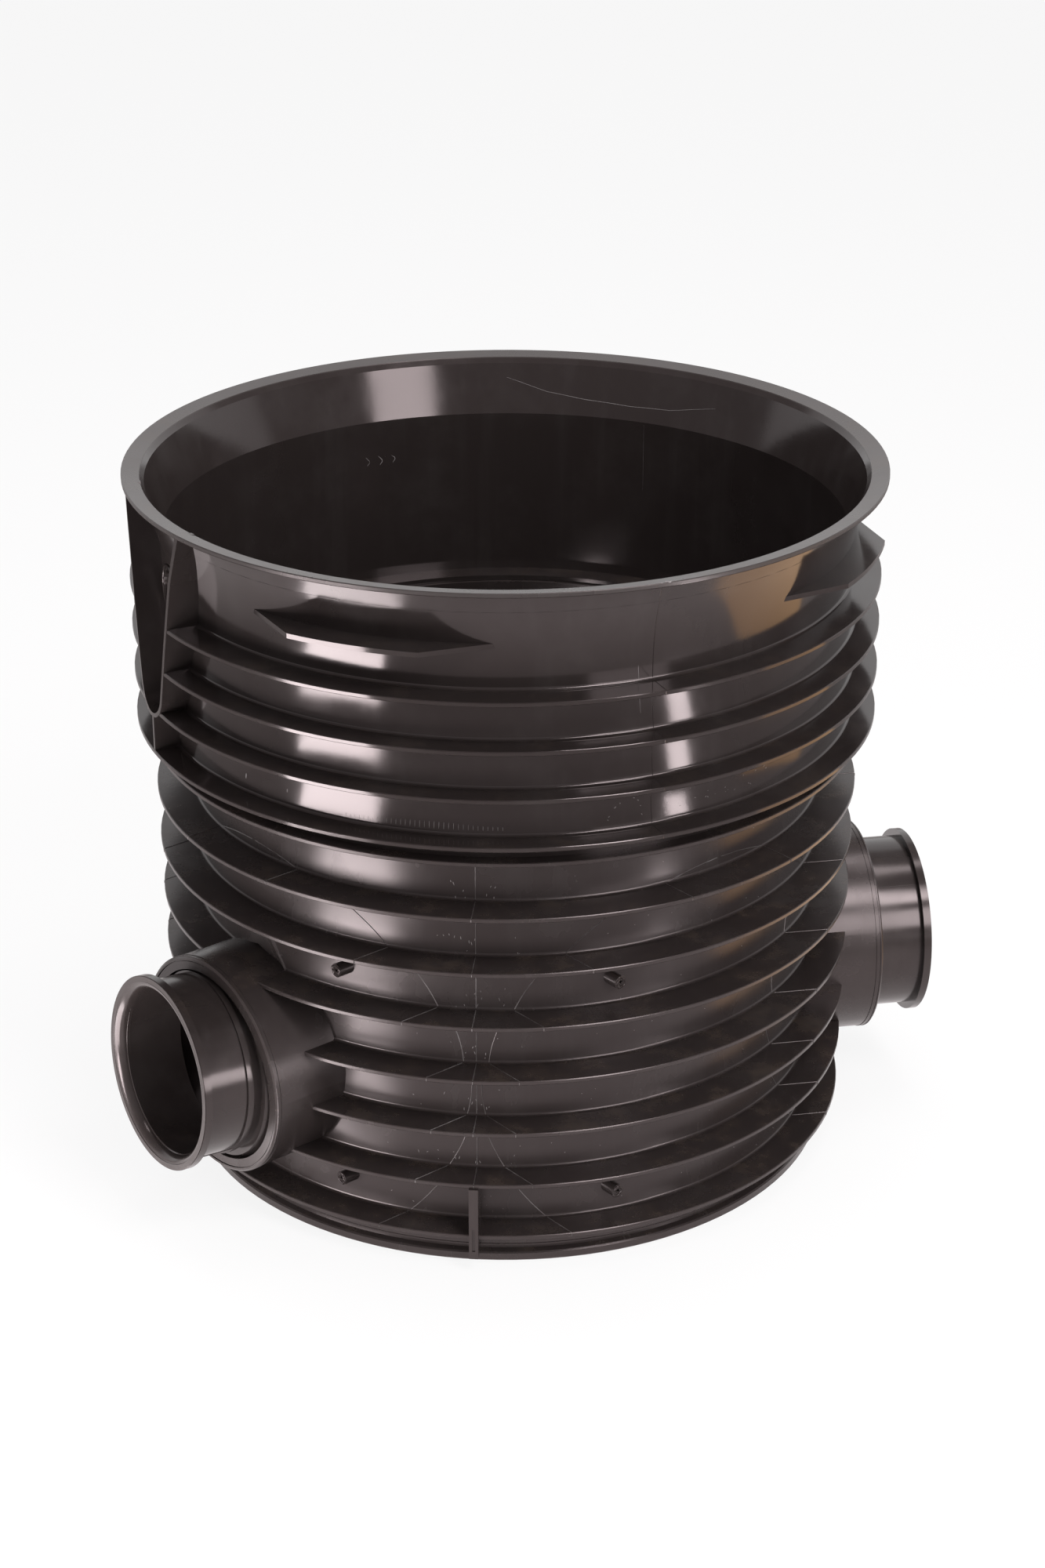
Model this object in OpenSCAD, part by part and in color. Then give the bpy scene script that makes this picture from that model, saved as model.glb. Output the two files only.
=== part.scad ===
// Drain inspection chamber: a ribbed base with a bent half-pipe channel and two
// ball-jointed pipe spigots, and a ribbed socket ring that takes a riser shaft.
// Origin at the centre of the foot, +Z up, millimetres.
// Azimuths are degrees from +X, anticlockwise seen from above.

/* [Chamber base] */
// Inside width of the chamber
chamber_bore = 450; // [430:1:465]
// Wall thickness of the base moulding
base_wall = 4; // [3:0.5:5]
// Height of the base moulding, up to the face that carries the socket ring
base_h = 323; // [318:1:345]
// Number of ribs round the base
base_ribs = 8; // [6:1:9]
// Height of the lowest rib's top face
low_rib_z = 29; // [26:1:32]
// Reach of the top rib past the wall
top_rib_reach = 31; // [29:0.5:34]
// Reach of the lowest rib past the foot bead
low_rib_past_foot = 13.2; // [10.8:0.2:16]
// Thickness of every rib at its edge
rib_edge = 3.2; // [2.4:0.2:3.6]
// Chamfer along the rib edges
rib_chamfer = 0.5; // [0.2:0.1:0.8]
// Outside width of the foot bead
foot_w = 486; // [484:1:496]

/* [Socket ring] */
// Inside width of the socket, for the riser shaft
socket_bore = 492; // [490:1:496]
// Wall thickness of the socket ring
ring_wall = 4; // [3.5:0.5:5]
// Height of the socket ring
ring_h = 197; // [192:1:220]
// Number of ribs round the ring
ring_ribs = 4; // [3:1:4]
// Distance between the ring's ribs
ring_rib_pitch = 34.7; // [32:0.1:35]
// Top face of the ring's lowest rib above its seat
ring_rib_rise = 16.5; // [14:0.5:18]
// Reach of the ring's ribs past its wall
ring_rib_reach = 21.5; // [20:0.5:23]
// Top of the inner ledge above the ring's seat
ledge_rise = 22.7; // [20.7:0.5:26.7]
// Width of the opening inside the ledge
ledge_bore = 456; // [452:1:470]
// Outside width of the rim flange
rim_w = 548; // [544:1:556]
// Thickness of the rim flange
rim_t = 3.3; // [2.8:0.1:4]
// Height of the flared part of the socket, below the rim's top
flare_h = 44; // [40:1:48]

/* [Grips and pocket] */
// Azimuth of the pocket
pocket_az = -151.5; // [-156:0.5:-148]
// Radius of the pocket's round bottom
pocket_r = 24; // [21:0.5:27]
// Height of the centre of that round below the rim
pocket_drop = 130; // [124:1:134]
// Wall thickness of the pocket and its rib
pocket_wall = 3; // [2.4:0.2:4]
// Half the angle that a grip takes at the wall
grip_half_angle = 21.3; // [19:0.1:23]
// Half the angle of a grip's full depth
grip_full_angle = 9.8; // [7:0.1:12]
// Reach of a grip past the wall
grip_reach = 23.5; // [21.5:0.5:25]

/* [Spigots] */
// Outside width of the spigot pipe
pipe_od = 131; // [129:0.5:132]
// Inside width of the spigot pipe
pipe_bore = 121; // [118:0.5:123]
// Outside width of the end lip
lip_od = 141.6; // [138:0.2:146]
// Width of the end lip along the pipe
lip_w = 5.9; // [4:0.1:8]
// Height of the pipe axis above the foot
pipe_z = 123.5; // [122:0.5:126]
// Distance of the swivel centres from the chamber's axis
pivot_out = 246.3; // [243:0.1:248]
// Length of a spigot from its swivel centre to its end
spigot_len = 71.4; // [66:0.2:85]
// Outside width of the bosses
boss_od = 161.4; // [160.6:0.2:166]
// Length of the bosses past the swivel centres
boss_out = 30; // [28.5:0.1:31]
// Azimuth of the inlet boss
inlet_az = -135; // [-138:1:-130]
// Azimuth of the outlet boss
outlet_az = 15; // [12:1:20]
// Turn of the inlet spigot about the vertical, from its boss's axis
inlet_turn = -5.6; // [-6:0.1:6]
// Rise of the inlet spigot from the level
inlet_rise = 3.7; // [-4:0.1:4]
// Radius of the ball on each spigot
ball_r = 74.8; // [74.4:0.1:75]

/* [Hidden] */
$fn = 144;

// A cut runs this far past the faces that it goes through.
eps = 1;
// Running gap between parts that move, and the gap round a seated seal.
run_gap = 0.3;
seal_gap = 0.2;

// Chamber base
bore_r = chamber_bore / 2;
base_r = bore_r + base_wall;
rib_pitch = (base_h - low_rib_z) / (base_ribs - 1);
low_rib_reach = foot_w / 2 + low_rib_past_foot - base_r;
foot_bead = 3;
foot_bead_h = 7;
foot_groove = 2;
foot_groove_h = 4;
foot_chamfer = 1;
skirt_r = foot_w / 2 - foot_bead;
skirt_wall = 4;

// Joint between the two mouldings, a touch narrower than the socket above it
seat_r = socket_bore / 2;
joint_step = 1;
joint_r = seat_r - joint_step;
collar_top = base_h + ledge_rise - ring_wall - run_gap;
collar_inset = 5;
collar_r = joint_r - collar_inset;
collar_wall = 4;
collar_lip_r = joint_r - 2 * seal_gap;
collar_lip_h = 2;
seal_r = 2.2;
seal_rise = 10;
seal_z = base_h + seal_rise;

// Floor: benching that falls towards the channel, and its webs
bench_wall_rise = 44;
bench_mid_rise = 22;
bench_wall_z = pipe_z + bench_wall_rise;
bench_mid_z = pipe_z + bench_mid_rise;
bench_flat_r = 30;
floor_t = 4;
web_t = 3;
webs = 4;
web_foot_z = 2;
trough_r = pipe_bore / 2;
bend_r = 200;
bend_half = (outlet_az - inlet_az) / 2;
bend_mid_az = (inlet_az + outlet_az) / 2;
bend_tangent = bend_r / tan(bend_half);
bend_step = 0.4;
channel_over = 10;
channel_top = bench_wall_z + channel_over;

// Bosses, from the inside of the chamber out to their mouths
boss_r = boss_od / 2;
boss_in = 44;
boss_lap = 2;
boss_chamfer = 1;
boss_mouth_wall = 2.5;
throat_r = 66;
throat_len = 39.6;
sill_step = 0.2;
sill_r = trough_r - sill_step;
seat_ball_r = ball_r + run_gap;
retainer_seat = 6;
retainer_r = boss_r - boss_mouth_wall - seal_gap;
retainer_bore_r = 71.5;
retainer_sunk = 0.4;
retainer_edge = 0.6;
ball_seal_r = 1.6;
ball_seal_x = -8;
ball_seal_out = sqrt(pow(seat_ball_r + ball_seal_r, 2) - pow(ball_seal_x, 2));

// Spigots, along x from the swivel centre
pipe_r = pipe_od / 2;
ball_front = 24;
ball_back = -30;
ball_wall = 4.5;
collar_x = [30.5, 35];
collar_step = 1.5;
pipe_start = 20;
lip_edge = 0.5;
mouth_chamfer = 8;
mouth_land = 4.4;
mouth_r = lip_od / 2 - mouth_land;

// Socket ring
total_h = base_h + ring_h;
ring_r = seat_r + ring_wall;
rim_r = rim_w / 2;
rim_fall = 2;
rim_face_w = 12.8;
rim_edge = 0.6;
rim_low_edge = 0.4;
flare_z = total_h - flare_h;
flare_out = 12.6;
flare_in = seat_r + 12;
flare_in_drop = 3;
ledge_z = base_h + ledge_rise;
grip_rise = 1.3;
grip_z = flare_z + grip_rise;
grip_t = 3.4;
grip_count = 4;
grip_r = ring_r + grip_reach;
pocket_z = total_h - pocket_drop;
pocket_lean = 14;
pocket_knee_z = flare_z + 4;
pocket_top_half = 61.4;
pocket_proud = 0.4;

// Marks of the mould on the base
fin_az = -90;
fin_w = 6.6;
fin_out = 2.6;
fin_recess = 0.8;
fin_recess_rise = 6;
nub_ribs = [0, 4];
nub_rise = rib_pitch * 0.44;
nub_spread = 23.5;
nub_r = 5;
nub_len = 11;
nub_hole_r = 1.4;
nub_hole_depth = 4;

function rib_z(i) = low_rib_z + i * rib_pitch;
function rib_reach(i) = low_rib_reach + (top_rib_reach - low_rib_reach) * i / (base_ribs - 1);

// One rib as a flange on a wall of radius wall_r, with chamfered edges.
module rib(wall_r, reach, top_z) {
    edge_r = wall_r + reach;
    inside = wall_r - eps;
    rotate_extrude()
        polygon([[inside, top_z - rib_edge], [edge_r - rib_chamfer, top_z - rib_edge],
                 [edge_r, top_z - rib_edge + rib_chamfer],
                 [edge_r, top_z - rib_chamfer],
                 [edge_r - rib_chamfer, top_z], [inside, top_z]]);
}

// A ring of rectangular section.
module tube(r_in, r_out, z0, z1) {
    rotate_extrude()
        polygon([[r_in, z0], [r_out, z0], [r_out, z1], [r_in, z1]]);
}

// Puts children that lie along +X on a boss's axis, at the swivel centre.
module at_boss(az) {
    rotate([0, 0, az])
        translate([pivot_out, 0, pipe_z])
            children();
}

// A cylinder along X between two stations.
module rod(r, x0, x1) {
    translate([x0, 0, 0])
        rotate([0, 90, 0])
            cylinder(r = r, h = x1 - x0);
}

// ---- Base ----

// Cuts room for both bosses and their spigots in a wall, a rib or the floor.
module clear_of_bosses() {
    difference() {
        children();
        for (az = [inlet_az, outlet_az])
            at_boss(az)
                rod(boss_r - boss_lap, -boss_in + eps, spigot_len);
    }
}

module base_shell() {
    clear_of_bosses()
        rotate([0, 0, fin_az])
            tube(bore_r, base_r, web_foot_z, collar_top);
    for (i = [0 : base_ribs - 1])
        clear_of_bosses()
            rotate([0, 0, fin_az])
                rib(base_r, rib_reach(i), rib_z(i));
    // skirt with a bead and a groove at the foot, hung from the lowest rib
    rotate_extrude()
        polygon([[skirt_r - skirt_wall, 0], [foot_w / 2 - foot_chamfer, 0],
                 [foot_w / 2, foot_chamfer], [foot_w / 2, foot_bead_h - foot_chamfer],
                 [foot_w / 2 - foot_chamfer, foot_bead_h],
                 [skirt_r - foot_groove, foot_bead_h + foot_chamfer],
                 [skirt_r - foot_groove, foot_bead_h + foot_groove_h],
                 [skirt_r, foot_bead_h + foot_groove_h + foot_groove],
                 [skirt_r, low_rib_z - rib_edge], [skirt_r - skirt_wall, low_rib_z - rib_edge]]);
}

// Collar that centres the socket ring and holds the joint seal between two lips.
module base_collar() {
    tube(collar_r - collar_wall, collar_r, base_h - eps, collar_top);
    for (side = [-1, 1])
        translate([0, 0, seal_z + side * (seal_r + seal_gap + collar_lip_h / 2)])
            tube(collar_r - eps, collar_lip_r, -collar_lip_h / 2, collar_lip_h / 2);
}

// Section of the channel: round below the pipe axis and straight-sided above it.
module channel_section(r) {
    intersection() {
        circle(r = r);
        translate([-2 * r, -2 * r])
            square([4 * r, 2 * r]);
    }
    translate([-r, 0])
        square([2 * r, channel_top - pipe_z]);
}

// That section swept from boss to boss. The bend is a touch wider than the arms, so
// that they meet in a fine step.
module channel(r) {
    for (side = [-1, 1])
        rotate([0, 0, bend_mid_az + side * bend_half])
            translate([0, 0, pipe_z])
                rotate([90, 0, 90])
                    translate([0, 0, bend_tangent - eps])
                        linear_extrude(height = pivot_out - boss_in + 3 * eps - bend_tangent)
                            channel_section(r);
    rotate([0, 0, bend_mid_az])
        translate([bend_r / sin(bend_half), 0, pipe_z])
            rotate([0, 0, 90 + bend_half])
                rotate_extrude(angle = 180 - 2 * bend_half)
                    translate([bend_r, 0])
                        channel_section(r + bend_step);
}

// Space below the benching, lowered by drop.
module under_bench(drop) {
    rotate_extrude()
        polygon([[0, web_foot_z - drop], [bore_r + base_wall / 2, web_foot_z - drop],
                 [bore_r + base_wall / 2, bench_wall_z - drop],
                 [bench_flat_r, bench_mid_z - drop], [0, bench_mid_z - drop]]);
}

module floor_webs() {
    for (i = [0 : webs - 1])
        rotate([0, 0, fin_az + (i + 0.5) * 180 / webs])
            translate([-bore_r - eps, -web_t / 2, web_foot_z - eps])
                cube([2 * (bore_r + eps), web_t, bench_wall_z]);
}

// Benching, channel trough and the webs under them.
module base_floor() {
    difference() {
        intersection() {
            under_bench(0);
            union() {
                difference() {
                    cylinder(r = bore_r + base_wall, h = channel_top);
                    under_bench(floor_t);
                }
                channel(trough_r + floor_t);
                floor_webs();
            }
        }
        channel(trough_r);
    }
}

// A boss, turned about its own axis: outer cylinder, inner end with a sill, throat,
// groove for the seal, round seat and the bore for the retainer.
module boss(az) {
    groove_half = ball_seal_r + seal_gap;
    at_boss(az)
        rotate([90, 0, 90])
            rotate_extrude()
                difference() {
                    polygon([[sill_r, -boss_in], [boss_r, -boss_in],
                             [boss_r, boss_out - boss_chamfer],
                             [boss_r - boss_chamfer, boss_out],
                             [retainer_r + seal_gap, boss_out],
                             [retainer_r + seal_gap, retainer_seat],
                             [seat_ball_r + seal_gap, retainer_seat],
                             [seat_ball_r + seal_gap, 0], [throat_r, 0],
                             [throat_r, -throat_len], [sill_r, -throat_len]]);
                    circle(r = seat_ball_r);
                    translate([throat_r, ball_seal_x - groove_half])
                        square([ball_seal_out + groove_half - throat_r, 2 * groove_half]);
                }
}

// Flat lug on the parting line, from the rib above the foot down to the foot.
module fin() {
    fin_r = base_r + low_rib_reach + fin_out;
    fin_z = foot_bead_h + foot_groove_h;
    rotate([0, 0, fin_az])
        difference() {
            translate([base_r - eps, -fin_w / 2, fin_z])
                cube([fin_r - base_r + eps, fin_w, rib_z(1) - rib_edge - fin_z]);
            // shallow recess down its face
            translate([fin_r - fin_recess, -fin_w / 6, fin_z + fin_recess_rise])
                cube([eps, fin_w / 3, rib_z(0) - fin_z]);
        }
}

// Small round lugs of the side cores, one pair above each rib named in nub_ribs.
module nub(az, pull_az, z) {
    translate([base_r * cos(az), base_r * sin(az), z])
        rotate([0, 0, pull_az])
            difference() {
                rod(nub_r, -nub_r, nub_len);
                rod(nub_hole_r, nub_len - nub_hole_depth, nub_len + eps);
            }
}

module nubs() {
    difference() {
        for (side = [-1, 1])
            for (i = nub_ribs)
                nub(fin_az + side * nub_spread, fin_az + side * 45, rib_z(i) + nub_rise);
        cylinder(r = bore_r + base_wall / 2, h = base_h);
    }
}

module chamber_base() {
    color("#2b2727") {
        base_shell();
        base_collar();
        boss(inlet_az);
        boss(outlet_az);
        clear_of_bosses()
            base_floor();
        fin();
        nubs();
    }
}

// ---- Socket ring ----

// Outline of the pocket, drawn with x across and y up, smaller all round by inset.
module pocket_outline(inset) {
    r = pocket_r - inset;
    knee_half = r / cos(pocket_lean) + (pocket_knee_z - pocket_z) * tan(pocket_lean);
    top_half = pocket_top_half - inset;
    translate([0, pocket_z])
        circle(r = r);
    polygon([[-r * cos(pocket_lean), pocket_z - r * sin(pocket_lean)],
             [r * cos(pocket_lean), pocket_z - r * sin(pocket_lean)],
             [knee_half, pocket_knee_z], [top_half, total_h - rim_t / 2 + inset],
             [-top_half, total_h - rim_t / 2 + inset], [-knee_half, pocket_knee_z]]);
}

// The pocket's outline as a prism along its own radius.
module pocket_prism(inset) {
    rotate([0, 0, pocket_az + 90])
        rotate([90, 0, 0])
            linear_extrude(height = ring_r + 2 * ring_rib_reach)
                pocket_outline(inset);
}

// Solid block that the pocket is cut into, with a short upright rib below it.
module pocket_block() {
    block_r = ring_r + ring_rib_reach + pocket_proud;
    low_rib = base_h + ring_rib_rise;
    intersection() {
        cylinder(r = block_r, h = total_h - rim_t / 2);
        pocket_prism(0);
    }
    rotate([0, 0, pocket_az])
        translate([ring_r - eps, -pocket_wall / 2, low_rib - eps])
            cube([ring_rib_reach - rib_chamfer + eps, pocket_wall,
                  pocket_z - pocket_r + pocket_wall / 2 - low_rib + eps]);
}

module grips() {
    for (i = [0 : grip_count - 1])
        rotate([0, 0, pocket_az + 45 + i * 360 / grip_count])
            intersection() {
                translate([0, 0, grip_z - grip_t])
                    cylinder(r = grip_r, h = grip_t);
                translate([0, 0, grip_z - grip_t])
                    linear_extrude(height = grip_t)
                        polygon([[0, 0],
                                 [ring_r * cos(grip_half_angle), -ring_r * sin(grip_half_angle)],
                                 [grip_r * cos(grip_full_angle), -grip_r * sin(grip_full_angle)],
                                 [grip_r + 2 * grip_reach, 0],
                                 [grip_r * cos(grip_full_angle), grip_r * sin(grip_full_angle)],
                                 [ring_r * cos(grip_half_angle), ring_r * sin(grip_half_angle)]]);
            }
}

// The ring without ribs: joint skirt, ledge, socket wall, flare and rim flange.
module ring_shell() {
    under_rim = total_h - rim_t;
    rim_in = rim_r - rim_face_w;
    rotate_extrude()
        polygon([[joint_r, base_h], [ring_r, base_h], [ring_r, flare_z],
                 [ring_r + flare_out, under_rim], [rim_r - rim_low_edge, under_rim],
                 [rim_r, under_rim + rim_low_edge], [rim_r, total_h - rim_edge],
                 [rim_r - rim_edge, total_h], [rim_in, total_h - rim_fall],
                 [flare_in, under_rim - flare_in_drop],
                 [seat_r, flare_z], [seat_r, ledge_z], [ledge_bore / 2, ledge_z],
                 [ledge_bore / 2, ledge_z - ring_wall], [joint_r, ledge_z - ring_wall]]);
}

// Solid up to the middle of the ring's wall.
module ring_core() {
    core_r = seat_r + ring_wall / 2;
    rotate_extrude()
        polygon([[0, base_h - eps], [core_r, base_h - eps], [core_r, flare_z],
                 [core_r + flare_out, total_h - rim_t], [core_r + flare_out, total_h + eps],
                 [0, total_h + eps]]);
}

module socket_ring() {
    color("#2b2727") {
        ring_shell();
        difference() {
            union() {
                for (i = [0 : ring_ribs - 1])
                    rib(ring_r, ring_rib_reach, base_h + ring_rib_rise + i * ring_rib_pitch);
                grips();
                pocket_block();
            }
            pocket_prism(pocket_wall);
            ring_core();
        }
    }
}

// ---- Seals, retainers and spigots ----

module joint_seal() {
    color("#1c1c1d")
        rotate_extrude()
            translate([collar_r + seal_gap + seal_r, seal_z])
                circle(r = seal_r);
}

module boss_seal(az) {
    color("#1c1c1d")
        at_boss(az)
            translate([ball_seal_x, 0, 0])
                rotate([0, 90, 0])
                    rotate_extrude()
                        translate([ball_seal_out, 0])
                            circle(r = ball_seal_r);
}

// Ring with a round seat that closes a boss and keeps the ball in.
module retainer(az) {
    color("#2b2727")
        at_boss(az)
            difference() {
                union() {
                    rod(retainer_r, retainer_seat, boss_out - retainer_sunk - retainer_edge);
                    rod(retainer_r - retainer_edge, retainer_seat, boss_out - retainer_sunk);
                }
                sphere(r = seat_ball_r);
                rod(retainer_bore_r, 0, boss_out + eps);
            }
}

// A spigot along +X with its swivel centre at the origin: pipe with an end lip, a
// narrow collar, and a hollow ball that turns in the boss.
module spigot() {
    color("#2b2727")
        difference() {
            union() {
                rod(pipe_r, pipe_start, spigot_len - lip_edge);
                rod(lip_od / 2, spigot_len - lip_w, spigot_len - lip_edge);
                rod(lip_od / 2 - lip_edge, spigot_len - lip_w, spigot_len);
                rod(pipe_r + collar_step, collar_x[0], collar_x[1]);
                intersection() {
                    sphere(r = ball_r);
                    rod(ball_r + eps, ball_back, ball_front);
                }
            }
            rod(pipe_bore / 2, 0, spigot_len + eps);
            intersection() {
                sphere(r = ball_r - ball_wall);
                rod(ball_r, ball_back - eps, ball_front - ball_wall);
            }
            translate([spigot_len - mouth_chamfer, 0, 0])
                rotate([0, 90, 0])
                    cylinder(r1 = pipe_bore / 2, r2 = mouth_r, h = mouth_chamfer);
            rod(mouth_r, spigot_len, spigot_len + eps);
        }
}

chamber_base();
socket_ring();
joint_seal();
at_boss(inlet_az) rotate([0, -inlet_rise, inlet_turn]) spigot();  // inlet_spigot
at_boss(outlet_az) spigot();  // outlet_spigot
retainer(inlet_az);  // inlet_retainer
retainer(outlet_az);  // outlet_retainer
boss_seal(inlet_az);  // inlet_seal
boss_seal(outlet_az);  // outlet_seal
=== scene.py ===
# %% [markdown]
# A drain inspection chamber: two black plastic mouldings pressed together, with a
# swivelling pipe spigot on each side. The solids come ready from the CAD frame, so this
# lesson is about what CAD leaves out: how moulded plastic shines, the fine lines that
# the mould's halves leave, the scuffs of handling, and a plain studio to see them in.

import math

import bpy
import numpy as np
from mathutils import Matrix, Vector


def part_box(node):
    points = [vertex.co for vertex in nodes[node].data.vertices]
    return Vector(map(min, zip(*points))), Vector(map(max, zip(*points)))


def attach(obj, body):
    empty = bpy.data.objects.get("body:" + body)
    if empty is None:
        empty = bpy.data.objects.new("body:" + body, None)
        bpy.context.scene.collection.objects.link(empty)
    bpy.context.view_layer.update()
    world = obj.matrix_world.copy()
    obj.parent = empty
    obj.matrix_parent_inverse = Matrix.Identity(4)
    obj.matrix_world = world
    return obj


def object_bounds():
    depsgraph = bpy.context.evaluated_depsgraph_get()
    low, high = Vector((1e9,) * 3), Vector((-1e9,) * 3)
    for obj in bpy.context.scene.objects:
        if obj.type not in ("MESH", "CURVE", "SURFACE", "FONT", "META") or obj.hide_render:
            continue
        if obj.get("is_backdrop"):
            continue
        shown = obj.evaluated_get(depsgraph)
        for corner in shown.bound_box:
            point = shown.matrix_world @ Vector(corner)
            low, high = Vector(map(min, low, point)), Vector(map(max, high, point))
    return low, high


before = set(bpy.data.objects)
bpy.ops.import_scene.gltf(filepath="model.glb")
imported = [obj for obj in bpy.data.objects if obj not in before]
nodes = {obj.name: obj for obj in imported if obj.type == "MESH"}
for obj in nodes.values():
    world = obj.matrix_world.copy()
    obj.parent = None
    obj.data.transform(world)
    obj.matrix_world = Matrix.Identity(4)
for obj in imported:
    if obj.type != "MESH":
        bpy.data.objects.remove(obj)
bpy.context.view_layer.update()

# %% [markdown]
# What lies on the rim takes its place from the frame's own box, so that it stays there.
# MM turns the millimetres that a maker thinks in into Blender's metres.

# %% Sizes taken from the frame
MM = 0.001
RING_LOW, RING_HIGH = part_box("socket_ring")
RIM_TOP = RING_HIGH.z
RIM_RADIUS = (RING_HIGH.y - RING_LOW.y) / 2
print("rim height and rim radius, mm:", [round(v / MM, 1) for v in (RIM_TOP, RIM_RADIUS)])


# %% [markdown]
# Shader maths reads better as formulas than as boxes and wires. Term wraps one socket,
# and each operator adds the Math node that does it, so `0.55 + grain * 0.2` builds two
# nodes. Colours and vectors have their own helpers, because a Math node turns a colour
# grey.

# %% A socket that can be used in formulas
class Term:
    """One output socket of a node tree, with arithmetic."""

    def __init__(self, tree, socket):
        self.tree, self.socket = tree, socket

    def node(self, kind, settings=None, inputs=None, out=0):
        """A node of this kind: settings first, then a value or a link for each input."""
        made = self.tree.nodes.new(kind)
        for name, value in (settings or {}).items():
            setattr(made, name, value)
        for key, value in (inputs or {}).items():
            if isinstance(value, Term):
                self.tree.links.new(value.socket, made.inputs[key])
            else:
                made.inputs[key].default_value = value
        return Term(self.tree, made.outputs[out])

    def math(self, operation, other):
        """One Math node that joins this and another term or number."""
        return self.node("ShaderNodeMath", {"operation": operation}, {0: self, 1: other})

    def __add__(self, o): return self.math("ADD", o)
    __radd__ = __add__
    def __sub__(self, o): return self.math("SUBTRACT", o)
    def __mul__(self, o): return self.math("MULTIPLY", o)
    def __pow__(self, o): return self.math("POWER", o)
    def max(self, o): return self.math("MAXIMUM", o)
    def min(self, o): return self.math("MINIMUM", o)

    def ramp(self, low, high):
        """0 up to low, 1 from high, smooth between; falls instead where low > high."""
        falls = low > high
        return self.node("ShaderNodeMapRange", {"interpolation_type": "SMOOTHSTEP", "clamp": True},
                         {0: self, 1: min(low, high), 2: max(low, high),
                          3: 1.0 if falls else 0.0, 4: 0.0 if falls else 1.0})

    def noise(self, scale, detail=2.0, roughness=0.5, stretch=(1, 1, 1)):
        """Noise from 0 to 1 on a vector term, in features per metre, stretched per axis."""
        at = self.node("ShaderNodeMapping", None, {"Vector": self, "Scale": stretch})
        return self.node("ShaderNodeTexNoise", None,
                         {"Vector": at, "Scale": scale, "Detail": detail,
                          "Roughness": roughness})

    def mix(self, a, b):
        """A colour: a where this is 0, b where it is 1."""
        return self.node("ShaderNodeMix", {"data_type": "RGBA"}, {0: self, 6: a, 7: b}, out=2)


def place_of(tree):
    """Object coordinates, their radius from the chamber's axis, and their height."""
    start = Term(tree, tree.nodes.new("ShaderNodeTexCoord").outputs["Object"])
    split = tree.nodes.new("ShaderNodeSeparateXYZ")
    tree.links.new(start.socket, split.inputs[0])
    x, y, z = (Term(tree, split.outputs[i]) for i in range(3))
    return start, (x * x + y * y) ** 0.5, z


print("formula helper ready")

# %% [markdown]
# Black polypropylene is not a flat black. Its skin copies the steel of the mould, so it
# is smooth enough to mirror a window, but it shrinks as it cools and the mirror image
# wobbles. Handling leaves faint rubbed patches, and dust greys whatever faces up. The
# rim's flat top is made rougher and painted lighter all round, which is a painted
# highlight. So one recipe gives all the mouldings: a warm near-black, two sizes of
# waviness as bump, and masks for dust, rubbing and the rim's painted highlight that
# change colour and roughness.

# %% Moulded black plastic
BLACK = (0.0180, 0.0144, 0.0138, 1.0)
MATT_BLACK = (0.0205, 0.0162, 0.0156, 1.0)
# colour of rubbed wear, also used as the rim's painted highlight
RUBBED_AND_RIM_HIGHLIGHT = (0.035, 0.031, 0.030, 1.0)
DUST = (0.11, 0.082, 0.060, 1.0)
PALE = (0.20, 0.19, 0.19, 1.0)
WAVE_SCALE, PEEL_SCALE, SMUDGE_SCALE, STREAK_SCALE = 11.0, 240.0, 17.0, 60.0
DUST_SCALE, GRAIN_SCALE, RUBBER_SCALE = 38.0, 900.0, 700.0
WAVE_DEPTH, PEEL_DEPTH, RUBBER_DEPTH = 0.9 * MM, 0.012 * MM, 0.03 * MM
RIM_FACE_INNER, RIM_FACE_LOW = 260.0 * MM, RIM_TOP - 3.0 * MM
UPWARD = (0.75, 0.97)


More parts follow.
